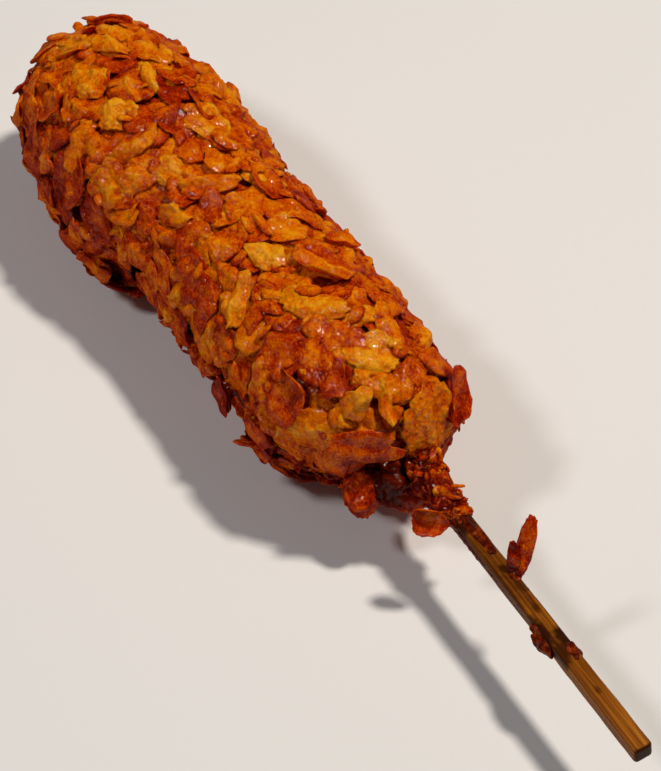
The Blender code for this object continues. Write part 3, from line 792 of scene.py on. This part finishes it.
# Its CAD node if it has one, then along the body, angle, length, width, turn, kind, toast, and how it is bent.
TOP_FLAKES = (
    ("flake_01", 5, 71, 8, 7, 0, SMOOTH, 0.28, {"cup": 1.2, "lift": 0.7, "roll": 1.2}),
    ("flake_02", 5, 35, 10, 9, 0, SMOOTH, 0.5, {"cup": 2.0, "lift": 0.6}),
    ("flake_03", 14, 20, 14, 9, -45, RIDGED, 0.62, {"cup": 1.3, "lip": (90, 1.6, 1.8, 70)}),
    ("flake_04", 23, 48, 11, 10, 0, SMOOTH, 0.44, {"cup": 1.1, "lip": (-70, 3.0, 1.5, 60)}),
    ("flake_05", 29, -18, 15, 9, -10, BLISTERED, 0.68, {"cup": 0.4}),
    ("flake_06", 38, 10, 13, 11, 0, RIDGED, 0.3, {"cup": 0.2, "lift": 0.4}),
    ("flake_07", 45, -30, 12, 10, 0, BLISTERED, 0.6, {"cup": 0.3}),
    ("flake_08", 45, 67, 15, 13, 30, SMOOTH, 0.2, {"cup": 1.4, "lift": 0.6}),
    ("flake_09", 54, 27, 15, 8, -85, RIDGED, 0.55, {"cup": -0.4, "lift": 1.0, "pitch": 1.0}),
    ("flake_10", 58, -15, 13, 11, 0, BLISTERED, 0.78, {"cup": 0.2, "lift": 0.4}),
    ("flake_11", 57, 50, 15, 12, 0, BLISTERED, 0.48, {"cup": 0.5, "lift": 0.8, "roll": 1.0}),
    ("flake_12", 75, 7, 17, 8, -68, RIDGED, 0.48, {"cup": -0.3, "lift": 0.9}),
    ("flake_13", 80, -25, 14, 9, 10, SMOOTH, 0.4, {"cup": 1.6, "lift": 0.9}),
    ("flake_14", 83, 66, 14, 5.5, 40, SMOOTH, 0.62, {"cup": 0.8, "lift": 0.8}),
    ("flake_15", 92, 22, 13, 11, 0, BLISTERED, 0.55, {"cup": 0.2, "lift": 0.9}),
    ("flake_16", 98, -12, 11, 10, 0, SMOOTH, 0.82, {"cup": 0.3, "lift": 1.0}),
    ("flake_17", 98, 57, 15, 12, 35, SMOOTH, 0.3, {"cup": 0.8, "lift": 1.0}),
    ("flake_18", 105, -40, 11, 5, -75, SMOOTH, 0.5, {"cup": 2.6, "lift": 1.0}),
    ("flake_19", 108, 38, 16, 8, 55, RIDGED, 0.72, {"cup": 0.4, "lift": 1.0}),
    ("flake_20", 115, -10, 19, 10, -22, RIDGED, 0.55, {"cup": 2.6, "lift": 1.3, "lip": (80, 2.5, 2.2, 75)}),
    ("flake_21", 119, 89, 10, 6, 40, SMOOTH, 0.25, {"cup": 1.4, "lift": 4.6}),
    ("flake_22", 124, 8, 20, 9, -35, BLISTERED, 0.72, {"cup": 0.4, "lift": 0.9}),
    ("flake_23", 137, 53, 15, 13, -10, SMOOTH, 0.3, {"cup": 1.0, "lift": 1.5, "lip": (-80, 4.4, 1.2, 55)}),
    ("flake_24", 140, 82, 12, 7, 50, BLISTERED, 0.68, {"cup": 1.0, "lift": 1.2}),
    ("flake_25", 143, -2, 15, 11, -50, BLISTERED, 0.9, {"cup": 0.2, "lift": 0.9}),
    ("flake_26", 143, 26, 11, 7, 30, SMOOTH, 0.25, {"cup": 1.6, "lift": 0.8}),
    ("flake_27", 158, -30, 20, 17, 8, BLISTERED, 0.72, {"cup": -0.2, "lift": 1.6, "breaks": (0,)}),
    ("flake_28", 156, 48, 20, 8.5, -30, SMOOTH, 0.42, {"cup": 0.9, "lift": 1.6, "breaks": (0,)}),
    ("flake_29", 158, 109, 13.0, 9.5, 0, BLOCKY, 0.36, {"cup": 0.2, "free": BLOCK}),
    (None, 28, 23, 13, 11, 0, BLISTERED, 0.75, {"cup": -0.2, "lift": 0.6}),
    (None, 20, 33, 11, 8, -50, SMOOTH, 0.5, {"cup": 1.0}),
    (None, 11, 12, 10, 7, -40, RIDGED, 0.56, {"cup": 0.8}),
    (None, 13, 55, 8, 6, 40, SMOOTH, 0.55, {"cup": 0.6}),
    (None, 40, -2, 12, 3.5, 10, RIDGED, 0.85, {"cup": 0.2, "lift": 1.2, "thickness": 1.8}),
    (None, 44, 23, 12, 9, -40, BLISTERED, 0.85, {"cup": 0.0, "lift": 0.8}),
    (None, 15, -15, 12, 8, -10, BLISTERED, 0.68, {"cup": 0.3}),
    (None, 22, 0, 13, 6, -30, RIDGED, 0.62, {"cup": 0.3, "lift": 1.0, "thickness": 1.6}),
    (None, 27, 3, 12, 9, -20, SMOOTH, 0.22, {"cup": 0.8, "lift": 0.0}),
    (None, 46, -8, 13, 8, 10, SMOOTH, 0.22, {"cup": 1.4, "lift": 0.1}),
    (None, 33, 38, 10, 7, -30, RIDGED, 0.52, {"cup": 0.4}),
    (None, 94, -1, 9, 3.2, 5, SMOOTH, 0.68, {"cup": 0.2, "lift": 1.4, "thickness": 1.6}),
    (None, 103, 10, 12, 8, -20, BLISTERED, 0.98, {"cup": 0.4, "lift": 1.0}),
    (None, 94, 5, 9, 8, 0, SMOOTH, 0.36, {"cup": 1.2, "lift": 0.3}),
    (None, 77, 33, 11, 7, -30, RIDGED, 0.66, {"cup": 0.3, "lift": 0.7}),
    (None, 86, 38, 13, 11, 0, SMOOTH, 0.38, {"cup": 0.6, "lift": 0.5}),
    (None, 66, 19, 10, 9, 0, BLISTERED, 0.78, {"cup": 0.2, "lift": 0.5}),
    (None, 71, -5, 10, 7, 0, RIDGED, 0.55, {"cup": 0.4}),
    (None, 64, 5, 8, 7, 0, SMOOTH, 0.42, {"cup": 0.5}),
    (None, 80, 73, 12, 5, 35, SMOOTH, 0.55, {"cup": 0.8, "lift": 0.6}),
    (None, 90, 47, 10, 8, 0, SMOOTH, 0.22, {"cup": 0.9}),
    (None, 130, 40, 14, 12, -15, SMOOTH, 0.32, {"cup": 1.0, "lift": 0.8}),
    (None, 128, 23, 9, 7, 0, SMOOTH, 0.2, {"cup": -0.6, "lift": 0.8}),
    (None, 133, 12, 12, 11, 0, BLISTERED, 0.34, {"cup": 0.3, "lift": 0.4}),
    (None, 138, -19, 16, 6, 15, BLISTERED, 0.62, {"cup": 0.3, "lift": 1.2}),
    (None, 150, 2, 15, 9, -45, BLISTERED, 0.48, {"cup": 0.5, "lift": 1.0}),
    (None, 113, 60, 12, 9, 0, RIDGED, 0.4, {"cup": 0.5, "lift": 0.6}),
    (None, 113, 17, 12, 8, 0, SMOOTH, 0.68, {"cup": 0.4, "lift": 0.5}),
    (None, 110, 88, 4, 4, 0, BLISTERED, 0.3, {"lift": 2.0, "thickness": 2.6}),
    (None, 103, 88, 4, 3, 0, BLISTERED, 0.3, {"lift": 1.6, "thickness": 2.4}),
    (None, 150, 25, 10, 7, 80, RIDGED, 0.68, {"cup": 0.5, "lift": 2.2, "pitch": -4.0}),
    (None, 153, 8, 12, 4, 20, RIDGED, 0.62, {"cup": 0.3, "lift": 2.2, "pitch": 2.5}),
    (None, 154, -58, 15, 9, 0, SMOOTH, 0.3, {"cup": 3.0, "lift": 2.0}),
    (None, 132, 89, 12, 7, 0, SMOOTH, 0.34, {"cup": 0.8, "lift": 0.8}),
    (None, 147, 88, 10, 9, 0, BLISTERED, 0.42, {"cup": 0.3, "lift": 1.2}),
)


def hand_laid():
    flakes = []
    for _, x, angle, length, width, turn, kind, toast, bend in TOP_FLAKES:
        flakes.append(Flake(x, angle, length, width, turn, **{"toast": toast, "lift": 0.5, **kind, **bend}))
        flakes[-1].lift += 0.35
    return flakes


def rest_of_top():
    """The second layer where no flake was listed: the back, the ends and underneath."""
    draw = random.Random(8)
    laid = [(row[1], row[2]) for row in TOP_FLAKES] + [HOLLOW[:2]]
    flakes = []
    for x, angle in spread_places(draw, 300, 7.6, laid, 7.2):
        length = draw.uniform(9.5, 15.0)
        kind = draw.choice((SMOOTH, BLISTERED, RIDGED))
        looks = {
            **kind,
            "toast": draw.uniform(0.25, 0.65),
            "lift": draw.uniform(0.0, 0.9),
            "thickness": draw.uniform(1.1, 1.6),
            "cup": draw.uniform(-0.2, 1.4),
            "curl": (draw.uniform(0.0, 180.0), draw.uniform(-0.4, 1.0)),
            "pitch": draw.uniform(-2.0, 2.0),
            "roll": draw.uniform(-1.2, 1.2),
        }
        width = length * draw.uniform(0.55, 0.9)
        flakes.append(Flake(x, angle, length, width, draw.uniform(0.0, 360.0), **looks))
    return flakes


def middle_layer():
    """Whole flakes over all the body, partly under the top ones and partly sunk in the batter."""
    draw = random.Random(17)
    flakes = []
    for x, angle in spread_places(draw, 260, 8.2, [HOLLOW[:2]], HOLLOW_RADIUS):
        length = draw.uniform(9.5, 14.5)
        kind = draw.choice((SMOOTH, SMOOTH, BLISTERED, RIDGED))
        looks = {
            **kind,
            "toast": draw.uniform(0.15, 0.75),
            "lift": draw.uniform(-0.5, 0.5),
            "cup": draw.uniform(-0.2, 1.2),
            "curl": (draw.uniform(0.0, 180.0), draw.uniform(-0.4, 0.8)),
            "pitch": draw.uniform(-2.4, 2.4),
            "roll": draw.uniform(-1.6, 1.6),
        }
        width = length * draw.uniform(0.55, 0.9)
        flakes.append(Flake(x, angle, length, width, draw.uniform(0.0, 360.0), **looks))
    return flakes


def scraps():
    """Broken pieces of flake: small ones between the whole flakes, and a ruff of them on the neck."""
    draw = random.Random(9)
    flakes = []
    places = spread_places(draw, 190, 9.0)
    places += [(draw.uniform(159.0, 181.0), draw.uniform(-180.0, 180.0)) for _ in range(70)]
    for x, angle in places:
        on_neck = x > 158.0
        length = draw.uniform(2.0, 4.4) if on_neck else draw.uniform(4.0, 7.5)
        looks = {
            "toast": draw.uniform(0.25, 0.8) if on_neck else draw.uniform(0.2, 0.7),
            "lift": draw.uniform(-0.2, 0.8) if on_neck else draw.uniform(0.6, 1.6),
            "cup": draw.uniform(-0.2, 0.6),
            "pitch": draw.uniform(-2.5, 2.5),
            "roll": draw.uniform(-1.5, 1.5),
            "blisters": 3,
            "waves": 0.2,
            "bubbly": 0.6,
        }
        width = length * draw.uniform(0.35, 0.8)
        flakes.append(Flake(x, angle, length, width, draw.uniform(0.0, 360.0), **looks))
    return flakes


def bedded(flakes):
    """Smaller, thicker and lower copies of flakes: the batter and glaze that hold them from below."""
    copies = []
    for flake in flakes:
        bed = Flake(flake.x, flake.angle, flake.length * 0.88, flake.width * 0.88, flake.turn)
        vars(bed).update({**vars(flake), "length": bed.length, "width": bed.width})
        bed.lift = flake.lift - 1.1
        bed.thickness = 1.8
        copies.append(bed)
    return copies


def make_batter(bm):
    on_side = Matrix.Rotation(math.pi / 2, 4, "Y")
    around, along = BATTER_STEPS
    bmesh.ops.create_uvsphere(bm, u_segments=around, v_segments=along, radius=1.0, matrix=on_side)
    unit = np.array([vertex.co for vertex in bm.verts])
    arcs = np.arccos(np.clip(-unit[:, 0], -1.0, 1.0)) / math.pi * PROFILE_ARC[-1]
    angles = np.degrees(np.arctan2(-unit[:, 1], unit[:, 2]))
    points, normals, _, _ = surface_at(arcs, angles)
    toast_layer, _, bubbly_layer = look_layers(bm)
    for vertex, point, normal, burnt in zip(bm.verts, points, normals, hollow_share(points)):
        place = Vector(point)
        on_neck = float(smooth_step(place.x, BODY_LENGTH - 6.0, BODY_LENGTH + 4.0))
        coarse = noise.noise(place * 0.15) * 2.2 * (1.0 - 0.6 * on_neck)
        depth = (BATTER_DEPTH + HOLLOW_DEPTH * burnt) * (1.0 - on_neck)
        thin = 1.0 - 0.75 * float(smooth_step(place.x, NECK_END - 8.0, NECK_END))
        crumbly = noise.fractal(place * 0.55, 0.9, 2.1, 3) * 0.8
        vertex.co = place + Vector(normal) * ((coarse + crumbly) * thin - depth)
        vertex[toast_layer] = 0.42 + 0.25 * noise.noise(place * 0.3) - 0.04 * on_neck
        vertex[bubbly_layer] = 0.5


def fuse(bm, cell):
    """Melts a mesh of separate closed shapes into one skin, which keeps its looks."""
    kept = KDTree(len(bm.verts))
    layers = look_layers(bm)
    values = []
    for index, vertex in enumerate(bm.verts):
        kept.insert(vertex.co, index)
        values.append([vertex[layer] for layer in layers])
    kept.balance()
    mesh = bpy.data.meshes.new("separate")
    bm.to_mesh(mesh)
    bm.free()
    lump = bpy.data.objects.new("separate", mesh)
    bpy.context.scene.collection.objects.link(lump)
    remesh = lump.modifiers.new("remesh", "REMESH")
    remesh.mode = "VOXEL"
    remesh.voxel_size = cell
    fused = bmesh.new()
    fused.from_object(lump, bpy.context.evaluated_depsgraph_get())
    bpy.data.objects.remove(lump)
    bpy.data.meshes.remove(mesh)
    layers = look_layers(fused)
    bmesh.ops.smooth_vert(fused, verts=fused.verts, factor=0.5, use_axis_x=True, use_axis_y=True, use_axis_z=True)
    burnt = hollow_share(np.array([vertex.co for vertex in fused.verts]))
    for vertex, share in zip(fused.verts, burnt):
        _, index, _ = kept.find(vertex.co)
        for layer, value in zip(layers, values[index]):
            vertex[layer] = value
        grain = noise.noise(vertex.co * 0.9) * 0.25 + noise.noise(vertex.co * 0.6) * 1.1 * share
        vertex.co += vertex.normal * grain
    return fused


NECK_LUMPS = 34


def neck_lumps(bm):
    """Adds lumps of batter to the neck, one of them large, where the coat ends on the stick's right."""
    draw = random.Random(5)
    rows = [
        (178.3, -62.0, 2.6, (5.0, 3.4, 3.0)),
        (180.5, -45.0, 2.2, (4.5, 3.0, 2.4)),
        (161.0, 128.0, 8.5, (9.0, 12.0, 9.0)),
        (162.5, 160.0, 8.5, (8.0, 10.0, 9.0)),
        (165.5, 150.0, 6.5, (8.0, 8.0, 7.0)),
        (162.0, 100.0, 7.5, (7.0, 8.0, 6.0)),
    ]
    for _ in range(NECK_LUMPS):
        x = draw.uniform(158.0, NECK_END - 1.0)
        size = draw.uniform(2.0, 4.2) * (1.0 - 0.35 * float(smooth_step(x, 165.0, NECK_END)))
        sizes = (size * draw.uniform(1.0, 1.6), size * draw.uniform(0.7, 1.0), size * 0.8)
        rows.append((x, draw.uniform(-180.0, 180.0), None, sizes))
    toast_layer = bm.verts.layers.float["toast"]
    for x, angle, distance, sizes in rows:
        point, normal, _, _ = surface(x, angle)
        middle = Vector(point) if distance is None else stick_axis(x) + radial(angle) * distance
        turn = Matrix.Rotation(math.radians(angle), 3, "X") @ Matrix.Rotation(draw.uniform(-0.6, 0.6), 3, "Z")
        toast = draw.uniform(0.3, 0.6)
        for vertex in bmesh.ops.create_icosphere(bm, subdivisions=3, radius=0.5)["verts"]:
            bulge = 1.0 + 0.35 * noise.noise(vertex.co * 5.0 + middle)
            vertex.co = middle + turn @ Vector([c * size * bulge for c, size in zip(vertex.co, sizes)])
            vertex[toast_layer] = toast


crust = bmesh.new()
make_batter(crust)
neck_lumps(crust)
add_flakes(crust, sunk_flakes(), 21, 24, 10)
add_flakes(crust, bedded(hand_laid()), 33, 24, 10)
add_flakes(crust, bedded(rest_of_top()), 34, 24, 10)
crust = fuse(crust, FUSED_CELL)
top = bmesh.new()
add_flakes(top, hand_laid(), 33, 48, 20)
sides = bmesh.new()
add_flakes(sides, rest_of_top(), 34, 28, 12)
middle = bmesh.new()
add_flakes(middle, middle_layer(), 36, 28, 12)
broken = bmesh.new()
add_flakes(broken, scraps(), 35, 20, 10)
skin = skin_tree([crust, top, sides, middle, broken])
GLAZED = flake_material("glazed fried crust", 0.4)
cad_flakes = [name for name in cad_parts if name.startswith("flake_")]
# The number after skin in these calls weights the painted shade in the hollow beside the neck; it is 1 where left out.
note_painted_shade(crust, skin)
finish_piece(crust, "fried_crust", GLAZED, ["crust"])
note_painted_shade(top, skin, 0.0)
finish_piece(top, "top_flakes", GLAZED, cad_flakes)
note_painted_shade(sides, skin, 0.7)
finish_piece(sides, "side_flakes", GLAZED, [])
note_painted_shade(middle, skin, 0.8)
finish_piece(middle, "middle_flakes", GLAZED, [])
note_painted_shade(broken, skin, 0.7)
finish_piece(broken, "broken_flakes", GLAZED, [])

# ---- The crumbs -----------------------------------------------------------------------------
# Broken flake and scraps of batter that the glaze has caught, a millimetre or two across. They
# lie between the flakes, and they cover the neck, where the coat thins out on to the stick.

CRUMBS_ON_BODY = 700
CRUMBS_ON_NECK = 320


def touch_down(point, normal, reach=12.0):
    """Where a line towards the body from outside it first meets the crust, the way it faces, and its height."""
    place, facing, _, distance = skin.ray_cast(Vector(point) + Vector(normal) * reach, -Vector(normal), 2 * reach)
    return place, facing, reach - distance if place else None


def add_crumbs(bm, crumbs, seed):
    """Adds bits as (place, way it faces, three sizes, toast), each started as a ball of 80 faces."""
    draw = random.Random(seed)
    ball = bmesh.new()
    bmesh.ops.create_icosphere(ball, subdivisions=2, radius=0.5)
    unit = [vertex.co.copy() for vertex in ball.verts]
    one_ball = bpy.data.meshes.new("crumb")
    ball.to_mesh(one_ball)
    ball.free()
    for _ in crumbs:
        bm.from_mesh(one_ball)
    bpy.data.meshes.remove(one_ball)
    toast_layer, rim_layer, _ = look_layers(bm)
    vertices = iter(bm.verts)
    for place, facing, sizes, toast in crumbs:
        turn = facing.to_track_quat("Z", "Y").to_matrix() @ Matrix.Rotation(draw.uniform(0.0, 6.28), 3, "Z")
        turn = turn @ Matrix.Rotation(draw.uniform(-0.7, 0.7), 3, "X")
        start = Vector((draw.uniform(0.0, 99.0), 0.0, 0.0))
        for corner in unit:
            vertex = next(vertices)
            bulge = 1.0 + 0.8 * noise.noise(corner * 4.0 + start)
            vertex.co = place + turn @ Vector([c * size * bulge for c, size in zip(corner, sizes)])
            vertex[toast_layer] = toast + 0.5 * noise.noise(corner * 2.0 + start)
            vertex[rim_layer] = 0.3


def body_crumbs():
    draw = random.Random(12)
    crumbs = []
    while len(crumbs) < CRUMBS_ON_BODY:
        arc, angle = draw.uniform(0.0, PROFILE_ARC[-1] - 20.0), draw.uniform(-180.0, 180.0)
        point, normal, _, _ = surface_at(arc, angle)
        hit = touch_down(point, normal)
        if hit[0] is None or hit[2] > 0.9 and draw.random() > 0.07:
            continue
        size = draw.uniform(0.6, 1.2) * draw.choice((0.8, 1.0, 1.6))
        sizes = (size * draw.uniform(1.0, 2.2), size, size * draw.uniform(0.35, 0.7))
        crumbs.append((hit[0] + hit[1] * size * 0.1, hit[1], sizes, draw.uniform(0.2, 0.75)))
    return crumbs


def neck_crumbs():
    draw = random.Random(14)
    crumbs = []
    while len(crumbs) < CRUMBS_ON_NECK:
        x, angle = draw.uniform(156.0, NECK_END + 1.5), draw.uniform(-180.0, 180.0)
        point = stick_axis(x)
        hit = touch_down(point, radial(angle), 20.0 if x < 168.0 else 8.0)
        if hit[0] is None:
            continue
        size = draw.uniform(0.5, 1.1)
        sizes = (size * draw.uniform(1.0, 3.2), size, size * draw.uniform(0.3, 0.7))
        crumbs.append((hit[0], hit[1], sizes, draw.uniform(0.3, 0.75)))
    return crumbs


bm = bmesh.new()
add_crumbs(bm, body_crumbs() + neck_crumbs(), 51)
note_painted_shade(bm, skin, 0.9)
finish_piece(bm, "crumbs", GLAZED, [])

# ---- The flakes stuck to the neck and the stick ---------------------------------------------
# Two cornflakes that the glaze has stuck by one edge only. The one at the neck is cupped, with
# its upper rim rolled over. The one further down stands up from the stick, folded lengthwise.

CUPPED_FLAKE = {"x": 177.8, "angle": 84.0, "distance": 6.7, "length": 9.0, "width": 7.8}
STANDING_FLAKE = {"x": 204.8, "angle": -25.0, "root": 2.0, "rise": 15.6, "lean": -4.4, "width": 4.2}


def make_loose_flakes():
    middle = stick_axis(CUPPED_FLAKE["x"]) + radial(CUPPED_FLAKE["angle"]) * CUPPED_FLAKE["distance"]
    cupped = Flake(0, 0, CUPPED_FLAKE["length"], CUPPED_FLAKE["width"], 0, toast=0.3, cup=2.6, waves=0.08)
    cupped.lip = (80.0, 1.4, 1.6, 75.0)
    cupped.breaks = (0,)
    cupped.free = (middle, Vector((0.54, 0.84, 0.05)), Vector((0.75, -0.5, 0.55)))
    outward = radial(STANDING_FLAKE["angle"])
    rise = outward * STANDING_FLAKE["rise"] + Vector((STANDING_FLAKE["lean"], 0.0, 0.0))
    middle = stick_axis(STANDING_FLAKE["x"]) + outward * STANDING_FLAKE["root"] + rise / 2 + Vector((0.0, 1.0, 0.0))
    standing = Flake(0, 0, rise.length, STANDING_FLAKE["width"], 0, toast=0.42, cup=0.3, waves=0.12)
    standing.curl = (0.0, -0.9)
    standing.breaks = (0,)
    standing.lobes = 0.3
    standing.free = (middle, rise, Vector((0.6, -0.3, 0.7)))
    # The wing is coloured dark red, near the darkest toast: painted shade on the shaded half of the fold.
    wing = Flake(0, 0, 9.0, 3.6, 0, toast=0.05, cup=0.6, waves=0.1)
    wing.breaks = (0,)
    wing.free = (
        middle - rise * 0.22 + Vector((-1.3, -1.7, 0.0)),
        rise + Vector((-3.0, -3.0, 0.0)),
        Vector((0.7, -0.4, 0.6)),
    )
    bm = bmesh.new()
    add_flakes(bm, [cupped, standing, wing], 61, 48, 20)
    return bm


bm = make_loose_flakes()
# Painted shade: the loose flakes are darker the nearer they come to the stick.
painted_shade_layer = bm.verts.layers.float.new("painted_shade")
for vertex in bm.verts:
    off_stick = (vertex.co - stick_axis(vertex.co.x)).length
    vertex[painted_shade_layer] = 0.75 * (1.0 - float(smooth_step(off_stick, 2.5, 6.0)))
finish_piece(bm, "loose_flakes", GLAZED, ["neck_flake", "stick_flake"])

# ---- The batter and glaze on the stick ------------------------------------------------------
# Drips that ran down the stick and fried hard: a ridge along its upper edge below the neck, a
# bead hanging on its left and a lump on its right. They are almost black, with a sticky shine.

# Along the body, angle round the stick, distance from its axis, length, width and height.
DRIPS = (
    ("batter_streak", 189.0, -12.0, 1.9, 18.0, 3.0, 2.2),
    ("batter_streak", 182.5, 62.0, 2.0, 4.5, 3.4, 2.4),
    ("batter_streak", 190.0, 118.0, 1.7, 19.0, 3.0, 2.0),
    ("batter_streak", 202.0, 122.0, 1.8, 12.0, 2.2, 1.6),
    ("batter_bead", 222.8, 100.0, 2.6, 8.5, 3.6, 3.6),
    ("batter_bead", 219.5, 80.0, 2.2, 5.0, 3.0, 2.2),
    ("batter_lump", 229.5, -40.0, 2.2, 6.0, 3.4, 2.4),
    ("batter_lump", 232.0, -20.0, 2.2, 2.6, 1.8, 1.4),
    ("batter_lump", 203.8, -28.0, 2.2, 5.5, 2.6, 2.0),
    ("batter_lump", 209.0, -45.0, 2.1, 3.0, 1.8, 1.2),
)


def make_drips():
    bm = bmesh.new()
    for _, x, angle, distance, *sizes in DRIPS:
        ball = bmesh.ops.create_icosphere(bm, subdivisions=5, radius=0.5)["verts"]
        middle = stick_axis(x) + radial(angle) * distance
        turn = Matrix.Rotation(math.radians(angle), 3, "X")
        for vertex in ball:
            bulge = 1.0 + 0.3 * noise.noise(vertex.co * 3.0 + middle)
            shaped = Vector([c * size * bulge for c, size in zip(vertex.co, sizes)])
            shaped.z += 0.25 * noise.noise(Vector((shaped.x * 0.9, x, 0.0)))
            vertex.co = middle + turn @ shaped
    return bm


def drip_material():
    """Batter and glaze fried almost black: dark red where it is thin, with a broken sticky gloss."""
    material = new_material("burnt glaze")
    tree = material.node_tree
    place = add_node(tree, "ShaderNodeTexCoord").outputs["Object"]
    blotches = add_node(tree, "ShaderNodeTexNoise", {"Vector": place, "Scale": 500.0, "Detail": 4.0, "Roughness": 0.6})
    base = ramp(
        tree,
        blotches.outputs["Fac"],
        ((0.32, "#2a0500"), (0.48, "#521203"), (0.6, "#7f2d06"), (0.74, "#a65310")),
    )
    bump = add_node(tree, "ShaderNodeBump", {"Height": blotches.outputs["Fac"], "Strength": 0.4, "Distance": 0.0003})
    shader = add_node(
        tree,
        "ShaderNodeBsdfPrincipled",
        {
            "Base Color": base,
            "Roughness": 0.38,
            "IOR": 1.4,
            "Specular IOR Level": 0.15,
            "Specular Tint": colour("#ff9a60"),
            "Coat Weight": 0.08,
            "Coat Roughness": 0.15,
            "Normal": bump.outputs["Normal"],
        },
    )
    add_node(tree, "ShaderNodeOutputMaterial", {"Surface": shader.outputs["BSDF"]})
    return material


finish_piece(
    make_drips(), "stick_drips", drip_material(), ["batter_streak", "batter_bead", "batter_lump"]
)

# ---- The table, the light and the camera ----------------------------------------------------

bm = bmesh.new()
bmesh.ops.create_grid(bm, x_segments=1, y_segments=1, size=3.0)
floor_mesh = bpy.data.meshes.new("floor")
bm.to_mesh(floor_mesh)
bm.free()
floor = bpy.data.objects.new("floor", floor_mesh)
bpy.context.scene.collection.objects.link(floor)
paint = new_material("pale matt table")
table_shader = add_node(paint.node_tree, "ShaderNodeBsdfPrincipled", {"Base Color": colour("#edf1f8"), "Roughness": 0.8})
add_node(paint.node_tree, "ShaderNodeOutputMaterial", {"Surface": table_shader.outputs["BSDF"]})
floor_mesh.materials.append(paint)

CAMERA_AZIMUTH = 57.5
CAMERA_ELEVATION = 49.0
CAMERA_DISTANCE = 1.2
a = math.radians(CAMERA_AZIMUTH)
e = math.radians(CAMERA_ELEVATION)
right = Vector((math.cos(a), math.sin(a), 0.0))
back = Vector((math.sin(a) * math.cos(e), -math.cos(a) * math.cos(e), math.sin(e)))
up = back.cross(right)
body_middle = (ORIGIN + Vector((BODY_LENGTH / 2, 0.0, AXIS_HEIGHT))) * MM
target = body_middle + right * 0.0246 - up * 0.0321
camera_data = bpy.data.cameras.new("camera")
camera_data.sensor_width = 36.0
camera_data.lens = 224.1
camera_data.clip_end = 20.0
camera = bpy.data.objects.new("camera", camera_data)
camera.matrix_world = Matrix.Translation(target + back * CAMERA_DISTANCE) @ Matrix(
    (right, up, back)
).transposed().to_4x4()
bpy.context.scene.collection.objects.link(camera)
bpy.context.scene.camera = camera


def add_light(name, direction, distance, size, power, tint="#ffffff"):
    light = bpy.data.lights.new(name, "AREA")
    light.shape = "DISK"
    light.size = size
    light.energy = power
    light.color = colour(tint)[:3]
    lamp = bpy.data.objects.new(name, light)
    way = direction.normalized()
    lamp.location = body_middle + way * distance
    lamp.rotation_euler = way.to_track_quat("Z", "Y").to_euler()
    bpy.context.scene.collection.objects.link(lamp)


add_light("key", Vector((0.15, 0.34, 0.93)), 1.3, 0.14, 12.2, "#fff1de")
add_light("fill", -right * 0.55 + up * 0.4 + back * 0.75, 1.6, 0.25, 6.2, "#fff8f0")
world = bpy.data.worlds.new("studio")
world.use_nodes = True
world.node_tree.nodes["Background"].inputs["Color"].default_value = colour("#fff6f0")
world.node_tree.nodes["Background"].inputs["Strength"].default_value = 0.06
bpy.context.scene.world = world
bpy.context.scene.view_settings.view_transform = "Standard"
